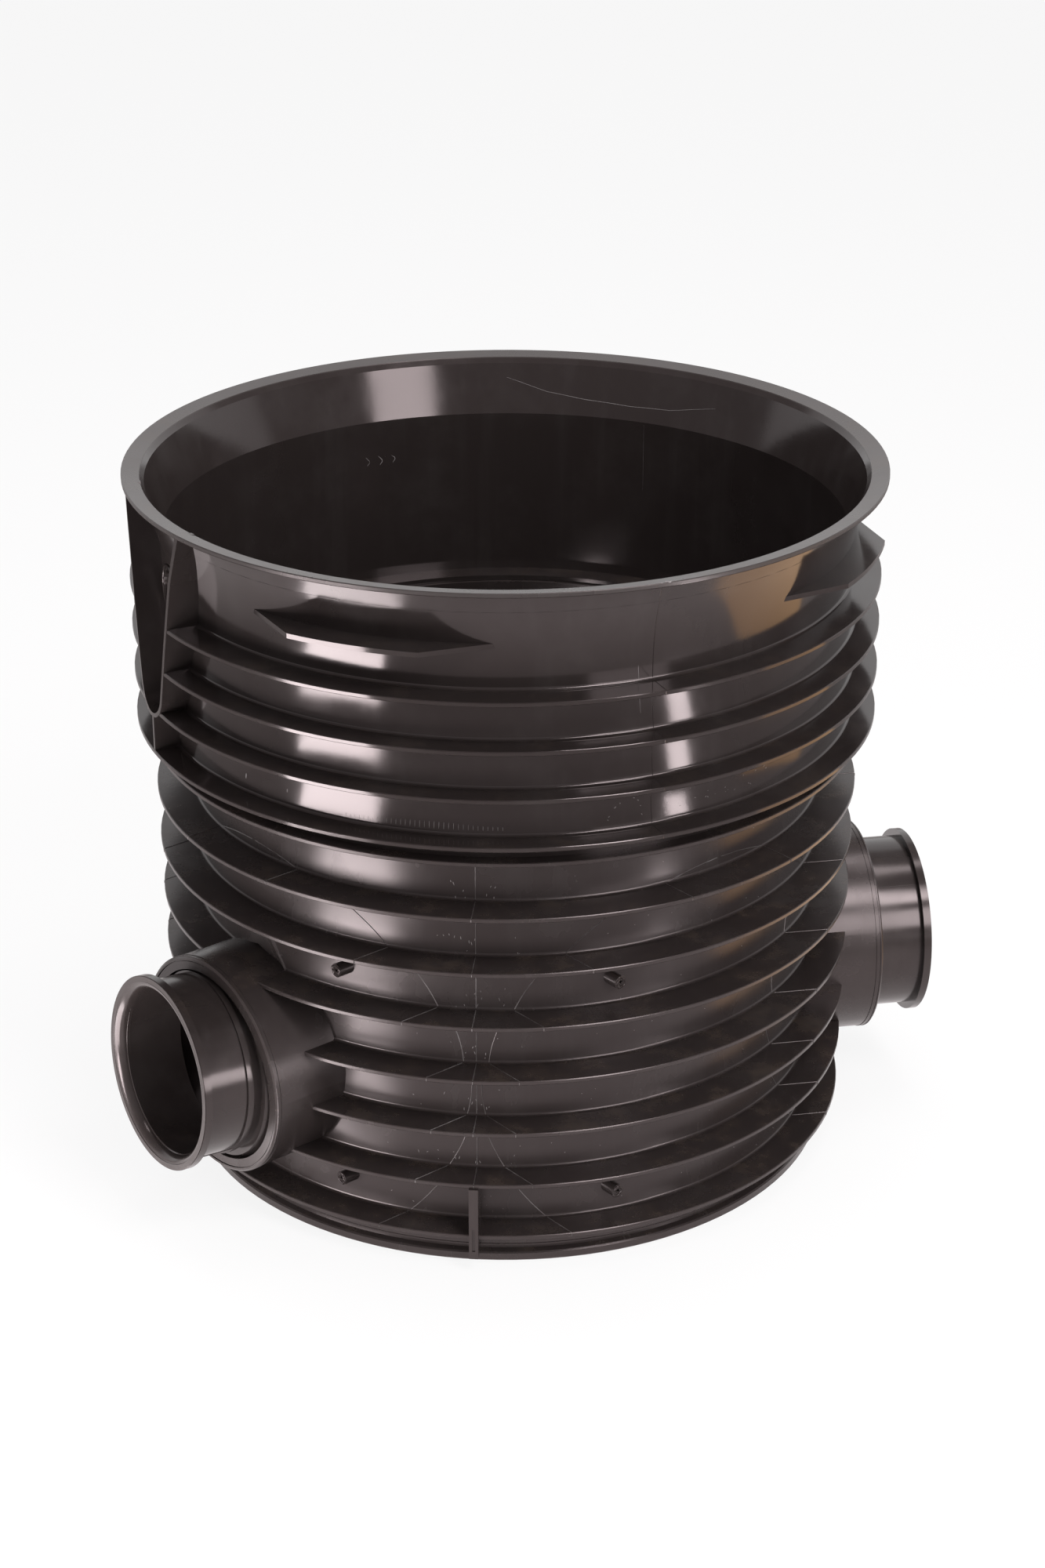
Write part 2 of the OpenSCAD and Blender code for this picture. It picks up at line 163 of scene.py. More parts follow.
def moulded_plastic(name, roughness, dusty, worn, tone=BLACK):
    """Warm black plastic. roughness is its polish, dusty and worn run from 0 to 1."""
    material = bpy.data.materials.new(name)
    material.use_nodes = True
    tree = material.node_tree
    bsdf = tree.nodes["Principled BSDF"]
    place, radius, height = place_of(tree)
    smudge = place.noise(SMUDGE_SCALE, 4.0, 0.62).ramp(0.42, 0.72)
    streak = place.noise(STREAK_SCALE, 3.0, 0.6, stretch=(1, 1, 0.06)).ramp(0.5, 0.78)
    grain = place.noise(GRAIN_SCALE, 2.0, 0.6).ramp(0.55, 0.8)
    facing = Term(tree, tree.nodes.new("ShaderNodeNewGeometry").outputs["Normal"])
    upward = place.node("ShaderNodeSeparateXYZ", None, {0: facing}, out=2)
    dust = upward.ramp(*UPWARD) * place.noise(DUST_SCALE, 6.0, 0.7).ramp(0.46, 0.74) * dusty
    # the rim's top face: a painted highlight that tints it lighter all round, and also makes it
    # rougher
    rim = (height.ramp(RIM_FACE_LOW, RIM_FACE_LOW + 0.6 * MM)
           * radius.ramp(RIM_FACE_INNER, RIM_FACE_INNER + 1.2 * MM))
    # rubbing from handling, plus the rim's painted highlight
    rubbed = (smudge * 0.5 + streak * 0.35 + grain * smudge * 0.5) * worn + rim * 0.9
    tint = dust.mix(rubbed.min(1.0).mix(tone, PALE if tone == RUBBED_AND_RIM_HIGHLIGHT else RUBBED_AND_RIM_HIGHLIGHT), DUST)
    rough = (roughness + smudge * 0.09 * worn + streak * 0.05 * worn
             + dust * 0.25 + rim * 0.16).min(0.9)
    wave = place.noise(WAVE_SCALE, 1.0, 0.4)
    peel = place.noise(PEEL_SCALE, 2.0, 0.5)
    bump = place.node("ShaderNodeBump", None,
                      {"Strength": 1.0, "Distance": 1.0,
                       "Height": wave * WAVE_DEPTH + peel * PEEL_DEPTH})
    for key, value in {"Base Color": tint, "Roughness": rough, "Normal": bump}.items():
        tree.links.new(value.socket, bsdf.inputs[key])
    bsdf.inputs["IOR"].default_value = 1.49
    bsdf.inputs["Specular Tint"].default_value = (1.0, 0.87, 0.88, 1.0)
    return material


def rubber(name):
    """Black seal rubber: dull, with a fine grain."""
    material = bpy.data.materials.new(name)
    material.use_nodes = True
    tree = material.node_tree
    bsdf = tree.nodes["Principled BSDF"]
    place = place_of(tree)[0]
    grain = place.noise(RUBBER_SCALE, 2.0, 0.6)
    bump = place.node("ShaderNodeBump", None, {"Strength": 1.0, "Height": grain * RUBBER_DEPTH})
    tint = grain.mix((0.012, 0.012, 0.012, 1), (0.022, 0.022, 0.023, 1))
    tree.links.new(tint.socket, bsdf.inputs["Base Color"])
    tree.links.new((0.55 + grain * 0.2).socket, bsdf.inputs["Roughness"])
    tree.links.new(bump.socket, bsdf.inputs["Normal"])
    return material


ring_plastic = moulded_plastic("ring plastic", roughness=0.11, dusty=0.1, worn=0.5)
base_plastic = moulded_plastic("base plastic", roughness=0.24, dusty=0.2, worn=0.6,
                               tone=MATT_BLACK)
spigot_plastic = moulded_plastic("spigot plastic", roughness=0.17, dusty=0.1, worn=0.6)
seal_rubber = rubber("seal rubber")
seam_plastic = moulded_plastic("seam plastic", roughness=0.30, dusty=0.0, worn=1.0, tone=RUBBED_AND_RIM_HIGHLIGHT)
rubbed_plastic = moulded_plastic("rubbed plastic", roughness=0.50, dusty=0.0, worn=1.0,
                                 tone=PALE)
finish_of = {"socket_ring": ring_plastic, "chamber_base": base_plastic,
             "inlet_spigot": spigot_plastic, "outlet_spigot": spigot_plastic,
             "inlet_retainer": base_plastic, "outlet_retainer": base_plastic,
             "joint_seal": seal_rubber, "inlet_seal": seal_rubber, "outlet_seal": seal_rubber}
for name, material in finish_of.items():
    nodes[name].data.materials.clear()
    nodes[name].data.materials.append(material)
print("finishes on", len(finish_of), "nodes")

# %% [markdown]
# Everything that is added rides on a moulding and is made of closed surfaces. Two
# recipes cover nearly all of it. A turned piece carries a section round the chamber's
# axis, for what a lathe would make. A bead carries a small rounded section along a path
# that lies on a surface, for lines that stand proud, such as where two mould halves met.

# %% Surfaces worked out on a grid
def tube_faces(steps, around, start, endless=False):
    """Quads between `steps` copies of a section of `around` points, and its two caps,
    or no caps where the last copy joins the first.

    Vertex (i, j) of the grid is number start + i * around + j. The section runs
    anticlockwise seen against the path, so that every face points outwards.
    """
    i, j = np.meshgrid(np.arange(steps if endless else steps - 1), np.arange(around),
                       indexing="ij")
    following, after = (i + 1) % steps, (j + 1) % around
    quads = np.stack([i * around + j, following * around + j,
                      following * around + after, i * around + after], -1).reshape(-1, 4)
    if endless:
        return (quads + start).tolist()
    first = np.arange(around)
    last = (steps - 1) * around + first[::-1]
    return (quads + start).tolist() + [(first + start).tolist(), (last + start).tolist()]


def turned(section, start, end, steps):
    """Section points (r, z) carried round the axis: x = r cos a, y = r sin a.

    The azimuth a of point j runs evenly from start[j] to end[j], in degrees, so an end
    may be cut at a slant.
    """
    section = np.asarray(section, float)
    t = np.linspace(0, 1, steps)[:, None]
    a = np.radians(np.asarray(start) + t * (np.asarray(end) - np.asarray(start)))
    a = np.broadcast_to(a, (steps, len(section)))
    r, z = section[:, 0], section[:, 1]
    return np.stack([r * np.cos(a), r * np.sin(a), z + 0 * a], -1)


# A low hump with its foot and keel below the surface that it lies on.
BEAD = np.array([(0.5, -0.4), (0.36, 0.5), (0.0, 1.0), (-0.36, 0.5), (-0.5, -0.4), (0.0, -1.2)])
SMOOTH_UP_TO = math.radians(50)


def bead(path, normal, width, height):
    """A rounded strip along path (n, 3): each section point (u, v) of BEAD lies at
    path + u * width * side + v * height * normal, where side = tangent x normal."""
    path, normal = np.asarray(path, float), np.broadcast_to(normal, np.shape(path))
    tangent = np.gradient(path, axis=0)
    tangent /= np.linalg.norm(tangent, axis=1, keepdims=True)
    side = np.cross(tangent, normal)
    side /= np.linalg.norm(side, axis=1, keepdims=True)
    width, height = np.reshape(width, (-1, 1, 1)), np.reshape(height, (-1, 1, 1))
    u, v = BEAD[None, :, :1], BEAD[None, :, 1:]
    return path[:, None] + u * width * side[:, None] + v * height * normal[:, None]


def piece(name, grids, material, body):
    """One object from several grids of shape (steps, around, 3), given in mm. A grid
    that comes back to its start loses its last copy and closes on itself."""
    endless = [np.allclose(g[0], g[-1], atol=1e-6) for g in grids]
    grids = [g[:-1] if e else g for g, e in zip(grids, endless)]
    verts = np.concatenate([g.reshape(-1, 3) for g in grids]) * MM
    faces, start = [], 0
    for g, e in zip(grids, endless):
        faces += tube_faces(g.shape[0], g.shape[1], start, e)
        start += g.shape[0] * g.shape[1]
    mesh = bpy.data.meshes.new(name)
    mesh.from_pydata(verts.tolist(), [], faces)
    mesh.polygons.foreach_set("use_smooth", np.ones(len(mesh.polygons), bool))
    mesh.set_sharp_from_angle(angle=SMOOTH_UP_TO)
    mesh.materials.append(material)
    made = bpy.data.objects.new(name, mesh)
    bpy.context.scene.collection.objects.link(made)
    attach(made, body)
    print(name, "faces:", len(mesh.polygons))
    return made


# %% [markdown]
# Between two ribs the wall isn't quite upright: the steel has to slide out of each
# groove, so the wall spreads a little towards the rib under it, and ends in a rounded
# corner of two millimetres. That slight cove is why a low lamp lights a band down to its
# foot, and the corner is what draws a thin bright line there. One section holds both,
# and it stops where a boss or the pocket takes the wall's place.

# %% Walls and ribs of the two mouldings, mm
# Radius of each plain wall, thickness of a rib, then the ribs' tops and how far they
# stand out from the wall.
BASE_WALL, RING_WALL, RIB_EDGE = 229.0, 250.0, 3.2
BASE_RIBS = 29.0 + 42.0 * np.arange(8)
BASE_REACH = np.linspace(27.2, 31.0, 8)
RING_RIBS = 339.5 + 34.7 * np.arange(4)
RING_REACH = 21.5
# The flare: the height where it leaves the wall, where it ends, and how far it leads out.
KNEE_Z, UNDER_RIM, FLARE_OUT = 476.0, 516.7, 12.6
# The bosses: where they point, their radius, and the height of the pipes' axes.
BOSS_AZIMUTHS, BOSS_RADIUS, PIPE_Z = (-135.0, 15.0), 80.7, 123.5
# The pocket: its round bottom, the lean of its flanks, and half its width at the
# shoulder and under the rim.
POCKET_AZIMUTH, POCKET_ROUND, POCKET_Z, POCKET_LEAN = -151.5, 24.0, 390.0, math.radians(14)
SHOULDER_Z, SHOULDER_HALF, MOUTH_Z, MOUTH_HALF = 480.0, 47.2, 518.35, 61.4
# The trim: round corner, spread of the cove, how deep its back lies in the wall, length
# of the easy curve to each side of the knee, and how far trim runs under a neighbour.
FILLET, COVE, SUNK, EASE, TUCK = 2.2, 3.0, 0.4, 26.0, 1.0
BANDS_TOP = KNEE_Z - EASE
print("from the highest rib to the rim, mm:", round(RIM_TOP / MM - RING_RIBS[-1], 1))


def towards(azimuth):
    """The level unit vector (cos a, sin a, 0) that points to an azimuth in degrees."""
    a = math.radians(azimuth)
    return np.array([math.cos(a), math.sin(a), 0.0])


def pocket_half(z):
    """Half the pocket's width at height z: a round bottom, then two straight flanks,
    and from its shoulder up two flanks that spread faster."""
    z = np.asarray(z, float)
    bottom = np.sqrt(np.clip(POCKET_ROUND ** 2 - (z - POCKET_Z) ** 2, 0, None))
    flank = POCKET_ROUND / math.cos(POCKET_LEAN) + (z - POCKET_Z) * math.tan(POCKET_LEAN)
    spread = (MOUTH_HALF - SHOULDER_HALF) / (MOUTH_Z - SHOULDER_Z)
    top = SHOULDER_HALF + (z - SHOULDER_Z) * spread
    flank_foot = POCKET_Z - POCKET_ROUND * math.sin(POCKET_LEAN)
    return np.where(z < flank_foot, bottom, np.where(z < SHOULDER_Z, flank, top))


def cove(z, ribs, wall):
    """Radius of a wall that spreads towards the rib under it: wall + COVE (1 - u)^2,
    where u runs from 0 on that rib to 1 under the next."""
    z = np.asarray(z, float)
    band = np.clip(np.searchsorted(ribs, z, side="right") - 1, 0, len(ribs) - 2)
    u = np.clip((z - ribs[band]) / (ribs[band + 1] - RIB_EDGE - ribs[band]), 0, 1)
    return wall + np.where(z > ribs[-1] - RIB_EDGE, 0, COVE * (1 - u) ** 2)


def base_radius(z): return cove(z, BASE_RIBS, BASE_WALL)
def ring_radius(z): return cove(z, RING_RIBS, RING_WALL)


def band_section(radius_at, low, high):
    """Section of one band of wall: a quarter round of size FILLET at its foot, with
    points (r + FILLET (1 - sin t), z + FILLET (1 - cos t)), then the cove, and a back
    that is SUNK into the wall."""
    t = np.linspace(0, math.pi / 2, 7)
    foot = float(radius_at(low + FILLET))
    arc = np.stack([foot + FILLET * (1 - np.sin(t)), low + FILLET * (1 - np.cos(t))], -1)
    z = np.linspace(low + FILLET, high, 18)[1:]
    rise = np.stack([radius_at(z), z], -1)
    back = float(radius_at(high - 1e-6)) - SUNK
    return np.concatenate([[(back, low - SUNK), (foot + FILLET, low - SUNK)],
                           arc, rise, [(back, high)]])


def cut_angle(half, section, tuck):
    """Degrees from a cut's middle to its edge at each section point, asin((half - tuck)
    / radius): the cut is `half` wide to each side, and the wall runs `tuck` into it."""
    return np.degrees(np.arcsin(np.clip(half - tuck, 0, None) / section[:, 0]))


# %% Bands of wall between the ribs
bands = []
for low, high in zip(RING_RIBS, list(RING_RIBS[1:] - RIB_EDGE) + [BANDS_TOP]):
    section = band_section(ring_radius, low, high)
    gap = cut_angle(pocket_half(section[:, 1]), section, TUCK)
    bands.append(turned(section, POCKET_AZIMUTH + gap, POCKET_AZIMUTH + 360 - gap, 220))
piece("ring_wall_bands", bands, ring_plastic, "chamber")

bands = []
for low, high in zip(BASE_RIBS[:7], BASE_RIBS[1:] - RIB_EDGE):
    section = band_section(base_radius, low, high)
    half = np.sqrt(np.clip(BOSS_RADIUS ** 2 - (section[:, 1] - PIPE_Z) ** 2, 0, None))
    gap = cut_angle(half, section, TUCK)
    left, right = BOSS_AZIMUTHS
    bands.append(turned(section, left + gap, right - gap, 120))
    bands.append(turned(section, right + gap, left + 360 - gap, 150))
piece("base_wall_bands", bands, base_plastic, "chamber")

# %% [markdown]
# The socket's flare leaves the wall in one easy curve, not at a bend. A shallow ring of
# lens-shaped section fills the outside of the bend: its outer edge is a quadratic curve
# that starts upright on the wall and ends along the flare. It is cut at a slant where
# the pocket breaks it.

# %% Easy curve under the flare
def eased(first, corner, last, steps):
    """Points of the quadratic curve (1 - t)^2 first + 2 t (1 - t) corner + t^2 last."""
    t = np.linspace(0, 1, steps)[:, None]
    return (1 - t) ** 2 * first + 2 * t * (1 - t) * corner + t ** 2 * last


flare = np.array([FLARE_OUT, UNDER_RIM - KNEE_Z])
flare /= math.hypot(*flare)
knee = np.array([RING_WALL, KNEE_Z])
low_end, high_end = knee - (0, EASE), knee + EASE * flare
curve = eased(low_end, knee, high_end, 15)
section = np.concatenate([curve, np.array([high_end, knee, low_end]) - (0.6, 0)])
gap = cut_angle(pocket_half(section[:, 1]), section, 1.5 * TUCK)
piece("flare_easing", [turned(section, POCKET_AZIMUTH + gap, POCKET_AZIMUTH + 360 - gap, 260)],
      ring_plastic, "chamber")


# %% [markdown]
# Where two steel parts of a mould meet, a little plastic creeps between them and leaves a
# hair-fine raised line. The base was closed by two halves on its front and back lines,
# and its ribs by inserts that slide out sideways. An insert is a round plug, so its edge
# is a circle seen along its slide: on the wall it bends, and on the top of a rib it runs
# straight outwards, along the slide. On the edge of a rib a line is a short upright
# stroke, and stops before the rounding.

# %% Paths on walls and ribs
SEAM_WIDTH, SEAM_RISE = 0.8, 0.3
ABOVE_FOOT, ROUNDING, STROKE_END = 1.2, 0.6, 2.6


def upright(radius, azimuth, z0, z1, n=9):
    """A path down a wall at one azimuth, with the wall's outward normal. The radius is
    a number, or a function of the height."""
    z, out = np.linspace(z0, z1, n), towards(azimuth)
    r = radius(z) if callable(radius) else radius + 0 * z
    return np.column_stack([r * out[0], r * out[1], z]), out


def outward(radius0, radius1, azimuth, z):
    """A path straight out along the top of a rib."""
    r, out = np.array([radius0, radius1]), towards(azimuth)
    return np.column_stack([r * out[0], r * out[1], [z, z]]), np.array([0, 0, 1.0])


def rib_lines(radius_at, azimuth, wall, reach, low, top):
    """A mould line at one azimuth over one rib: down the wall to it, out along its top,
    and down its edge. Each is a pair of path and normal."""
    return (upright(radius_at, azimuth, top, low + ABOVE_FOOT),
            outward(wall, wall + reach - ROUNDING, azimuth, low),
            upright(wall + reach, azimuth, low - ROUNDING, low - STROKE_END))


# %% Edges of the round inserts
def sideways_of(azimuth):
    """The level unit vector (-sin a, cos a), at right angles to an azimuth."""
    x, y = towards(azimuth)[:2]
    return np.array([-y, x])


def insert_edge(pull, radius, centre, side, other=None):
    """Beads along one side of an insert's circle: on the wall the points where
    s^2 + (z - centre)^2 = radius^2, at azimuth pull + asin(s / wall radius there).
    They stop where the `other` insert, given by its pull, radius and centre, cuts in."""
    made = []
    axis, across = towards(pull)[:2], sideways_of(pull)
    for low, high, reach in zip(BASE_RIBS[:-1], BASE_RIBS[1:] - RIB_EDGE, BASE_REACH):
        z = np.linspace(low, min(high, centre + radius - 0.01), 16)
        z = z[(z > centre - radius)]
        if len(z) < 2:
            continue
        s = side * np.sqrt(radius ** 2 - (z - centre) ** 2)
        there = base_radius(z)
        along = np.sqrt(there ** 2 - s ** 2)
        flat = along[:, None] * axis + s[:, None] * across
        keep = np.ones(len(z), bool)
        if other:
            other_pull, other_radius, other_centre = other
            off = flat @ sideways_of(other_pull)
            keep = off ** 2 + (z - other_centre) ** 2 > other_radius ** 2
        if keep.sum() >= 2:
            made.append(bead(np.column_stack([flat, z])[keep],
                             np.column_stack([flat / there[:, None], 0 * z])[keep],
                             SEAM_WIDTH, SEAM_RISE))
        if keep[0]:
            # straight out over the rib's top, then a stroke down its edge
            rim = BASE_WALL + reach
            ends = np.array([along[0] - 0.3, math.sqrt((rim - ROUNDING) ** 2 - s[0] ** 2)])
            line = ends[:, None] * axis + s[0] * across
            made.append(bead(np.column_stack([line, [low, low]]), (0, 0, 1),
                             SEAM_WIDTH, SEAM_RISE))
            tip = line[1] / np.linalg.norm(line[1])
            made.append(bead(np.column_stack([np.tile(tip * rim, (2, 1)),
                                              [low - ROUNDING, low - STROKE_END]]),
                             (tip[0], tip[1], 0), SEAM_WIDTH, SEAM_RISE))
    return made


# %% Parting lines
seams = []
for azimuth, first in ((-90.0, 1), (90.0, 0)):
    for low, high, reach in zip(BASE_RIBS[first:7], BASE_RIBS[first + 1:], BASE_REACH[first:]):
        for path, normal in rib_lines(base_radius, azimuth, BASE_WALL, reach, low,
                                      high - RIB_EDGE):
            seams.append(bead(path, normal, SEAM_WIDTH, SEAM_RISE))
# Each insert: the azimuth it slides along, its radius, and its centre's height.
inlet_insert = (BOSS_AZIMUTHS[0], 160.0, 128.0)
front_insert = (-45.0, 160.0, 128.0)
outlet_insert = (BOSS_AZIMUTHS[1], 161.5, 132.0)
for insert, side, other in ((inlet_insert, 1, None), (inlet_insert, -1, None),
                            (front_insert, -1, None), (front_insert, 1, outlet_insert),
                            (outlet_insert, -1, None), (outlet_insert, 1, None)):
    seams += insert_edge(*insert, side, other)
piece("base_parting_lines", seams, seam_plastic, "chamber")

FINE = 0.7
seams = []
for azimuth in (-62.0, 118.0):
    for low, high in zip(RING_RIBS, list(RING_RIBS[1:] - RIB_EDGE) + [BANDS_TOP + 2.0]):
        for path, normal in rib_lines(ring_radius, azimuth, RING_WALL, RING_REACH, low, high):
            seams.append(bead(path, normal, FINE * SEAM_WIDTH, FINE * SEAM_RISE))
    rise = np.concatenate([curve, [(RING_WALL + FLARE_OUT, UNDER_RIM)]])
    out = towards(azimuth)
    path = np.column_stack([rise[:, :1] * out[:2], rise[:, 1]])
    seams.append(bead(path, out - (0, 0, 0.15), FINE * SEAM_WIDTH, FINE * SEAM_RISE))
piece("ring_parting_lines", seams, ring_plastic, "chamber")

# %% [markdown]
# Small round lugs stand where the side inserts were pinned. Their ends tore a little when
# the moulding was pushed out, so each carries a ragged ring of flash round a pin hole.
# The ring is a torus whose radius and thickness wander by a few harmonics. The pocket's
# face carries two plain raised rings, which are the same torus without any wandering.

# %% Flash on the lugs, and the ring in the pocket
rng = np.random.default_rng(7)


def ragged_ring(centre, axis, radius, thickness, wander, steps=40, around=8):
    """A closed torus about `axis`: radius and thickness each times 1 + wander * a sum
    of three sines of the angle. The path closes on itself."""
    axis = np.asarray(axis, float) / np.linalg.norm(axis)
    first = np.cross(axis, (0, 0, 1.0))
    first /= np.linalg.norm(first)
    second = np.cross(axis, first)
    a = np.linspace(0, 2 * math.pi, steps)
    phase, turns = rng.uniform(0, 6.28, (3, 1)), np.array([[2], [3], [5]])
    wave = 1 + wander * np.sin(turns * a + phase).sum(0)
    out = np.cos(a)[:, None] * first + np.sin(a)[:, None] * second
    b = np.linspace(0, 2 * math.pi, around, endpoint=False)[None, :, None]
    path = np.asarray(centre) + (radius * wave)[:, None] * out
    r = (thickness * wave[::-1])[:, None, None]
    return path[:, None] + r * (np.cos(b) * out[:, None] + np.sin(b) * axis)


LUG_SPREAD, LUG_RISE, LUG_LENGTH = 23.5, 18.5, 11.0
flash = []
for rib_top in BASE_RIBS[[0, 4]]:
    for side in (-1, 1):
        axis = towards(-90 + side * 45)
        foot = BASE_WALL * towards(-90 + side * LUG_SPREAD) + (0, 0, rib_top + LUG_RISE)
        end = foot + LUG_LENGTH * axis
        flash.append(ragged_ring(end - 0.2 * axis, axis, 3.6, 0.9, 0.10))
        flash.append(ragged_ring(end + (0, 0, 1.1) - 0.1 * axis, axis, 2.0, 0.55, 0.16, 28, 6))
piece("lug_flash", flash, base_plastic, "chamber")

out = towards(POCKET_AZIMUTH - 3.6)
middle = (RING_WALL + 0.2) * out + (0, 0, 452.0)
piece("pocket_ring", [ragged_ring(middle, out, 17.0, 0.9, 0.0, 73, 8),
                      ragged_ring(middle, out, 12.0, 0.6, 0.0, 61, 8)],
      ring_plastic, "chamber")

# %% [markdown]
# Each spigot's mould opened along the pipe, which leaves one straight line on either
# side. The pipe's axis is found from the spigot itself, because a spigot may stand
# swivelled in its boss: it runs from the ball's centre to the middle of the lip.

# %% Lines along the pipes
PIPE_RADIUS, LIP_BACK, COLLAR_END, PIVOT_OUT = 65.5, 65.5, 35.5, 246.3
LIP_SLICE = 0.6


def pipe_frame(azimuth, node):
    """The swivel centre and the pipe's unit axis, level side and rising side."""
    centre = PIVOT_OUT * towards(azimuth) + (0, 0, PIPE_Z)
    mesh = nodes[node].data
    points = np.empty(len(mesh.vertices) * 3)
    mesh.vertices.foreach_get("co", points)
    points = points.reshape(-1, 3) / MM
    reach = np.linalg.norm(points - centre, axis=1)
    axis = points[reach > reach.max() - LIP_SLICE].mean(0) - centre
    axis /= np.linalg.norm(axis)
    level = np.cross(axis, (0, 0, 1.0))
    level /= np.linalg.norm(level)
    return centre, axis, level, np.cross(level, axis)


for body, azimuth, slants in (("inlet", BOSS_AZIMUTHS[0], (38.0, 218.0)),
                              ("outlet", BOSS_AZIMUTHS[1], (40.0, 220.0))):
    centre, axis, level, rising = pipe_frame(azimuth, body + "_spigot")
    print(body, "pipe axis:", axis.round(3))
    lines = []
    for slant in slants:
        w = math.radians(slant)
        out = math.cos(w) * rising + math.sin(w) * level
        along = np.array([COLLAR_END, LIP_BACK])[:, None]
        lines.append(bead(centre + along * axis + PIPE_RADIUS * out, out, 0.7, 0.25))
    piece(body + "_parting_lines", lines, spigot_plastic, body)

# %% [markdown]
# The mouth of each pipe is rounded inwards like a bell, so that a plug slides in. A ring
# turned about the pipe's own axis does it: its face is a quadratic curve that starts
# flat on the end of the lip and ends along the bore. The boss's mouth has two shallow
# steps where its mould was built up from rings, and they are turned about its own axis.

# %% Bell mouths and boss steps
def turned_about(section, centre, axis, level, rising, steps=145):
    """Section points (a, r) carried round an axis: centre + a * axis
    + r (cos w * rising - sin w * level)."""
    section = np.asarray(section, float)
    w = np.linspace(0, 2 * math.pi, steps)[:, None, None]
    w[-1] = 0
    a, r = section[None, :, :1], section[None, :, 1:]
    return centre + a * axis + r * (np.cos(w) * rising - np.sin(w) * level)


# Section points (along the axis from the pivot, radius from the axis), mm.
face, corner, bore = np.array([(71.3, 66.8), (70.9, 60.9), (61.0, 60.4)])
bell = np.concatenate([eased(bore, corner, face, 13), [(70.6, 67.0), (60.6, 61.0)]])
STEPS = [np.array([(a - 0.6, 80.4), (a + 0.6, 80.4), (a + 0.4, 81.1), (a - 0.4, 81.1)])
         for a in (28.4, 25.2)]
for body, azimuth in zip(("inlet", "outlet"), BOSS_AZIMUTHS):
    centre, axis, level, rising = pipe_frame(azimuth, body + "_spigot")
    piece(body + "_bell_mouth", [turned_about(bell, centre, axis, level, rising)],
          spigot_plastic, body)
    straight_out, up = towards(azimuth), np.array([0, 0, 1.0])
    sideways = np.cross(straight_out, up)
    piece(body + "_boss_steps",
          [turned_about(step, centre, straight_out, sideways, up) for step in STEPS],
          base_plastic, "chamber")

# %% [markdown]
# Wear is a few real marks, not a texture all over: hair scratches from stacking, a row
# of short upright ticks left by the neighbour's ribs, one white scuff near the joint,
# and tiny torn specks along the parting lines. A scratch pushes up pale plastic, so each
# is a very flat bead with a rubbed finish, laid on the wall between two points.

# %% Handling marks
def on_wall(azimuths, heights, radius, n=12, inside=False):
    """A path on an upright wall through evenly spread (azimuth, height) pairs."""
    t, knots = np.linspace(0, 1, n), np.linspace(0, 1, len(azimuths))
    a, z = np.radians(np.interp(t, knots, azimuths)), np.interp(t, knots, heights)
    r = radius(z) if callable(radius) else radius + 0 * z
    r = r + np.interp(z, [0, KNEE_Z, UNDER_RIM], [0, 0, FLARE_OUT])
    out = np.column_stack([np.cos(a), np.sin(a), 0 * a])
    sign = -1.0 if inside else 1.0
    return np.column_stack([r * np.cos(a), r * np.sin(a), z]), sign * out


def mark(azimuths, heights, width, height=0.07, radius=ring_radius, inside=False, n=12):
    """A flat bead on a wall, whose width thins to both ends as sqrt(sin t)."""
    path, normal = on_wall(azimuths, heights, radius, n, inside)
    taper = np.sin(np.linspace(0.15, math.pi - 0.15, n)) ** 0.5
    return bead(path, normal, width * taper, height)


SOCKET_WALL = 246.0
TICK_LOW, TICK_TALL, TICK_STEP = 343.4, 3.6, 0.75
marks = []
# the row of ticks over the lowest rib
for a in np.arange(-110.0, -85.0, TICK_STEP):
    tall = TICK_TALL + 1.2 * math.sin(math.radians(14.0 * a))
    marks.append(mark((a, a), (TICK_LOW, TICK_LOW + tall), 0.22, 0.05, n=4))
# two nicks, then the scratches under the flare and down the wall
marks += [mark((-130, -130), (348.5, 352), 0.9, 0.12, n=5),
          mark((-121, -121), (349.5, 352), 0.9, 0.12, n=5),
          mark((-79, -71), (471, 468.5), 0.5), mark((-77.5, -73.5), (469, 467.5), 0.4),
          mark((-53.5, -41), (474, 471), 0.7, 0.1), mark((-52, -44), (470.5, 469), 0.4),
          mark((-64.5, -64), (463, 421), 0.35)]
# torn specks beside the parting line
for _ in range(46):
    a, z = rng.uniform(-70.0, -38.0), rng.uniform(346.0, 366.0)
    marks.append(mark((a, a + rng.uniform(-0.25, 0.25)), (z, z + rng.uniform(0.3, 1.0)), 0.4,
                      n=4))
# inside the socket: a long hair scratch, a short one, and a few hooked nicks
marks += [mark((95, 88, 81, 72, 64, 55), (503, 493, 488.5, 486.5, 488, 496), 0.35,
               radius=SOCKET_WALL, inside=True, n=30),
          mark((69, 69), (474, 420), 0.3, radius=SOCKET_WALL, inside=True)]
for a in np.linspace(122, 117, 5):
    marks.append(mark((a, a - 0.9, a - 0.3), (447.0, 444.0, 440.0) + rng.uniform(-1, 1, 3), 0.6,
                      radius=SOCKET_WALL, inside=True, n=6))
piece("ring_handling_marks", marks, rubbed_plastic, "chamber")

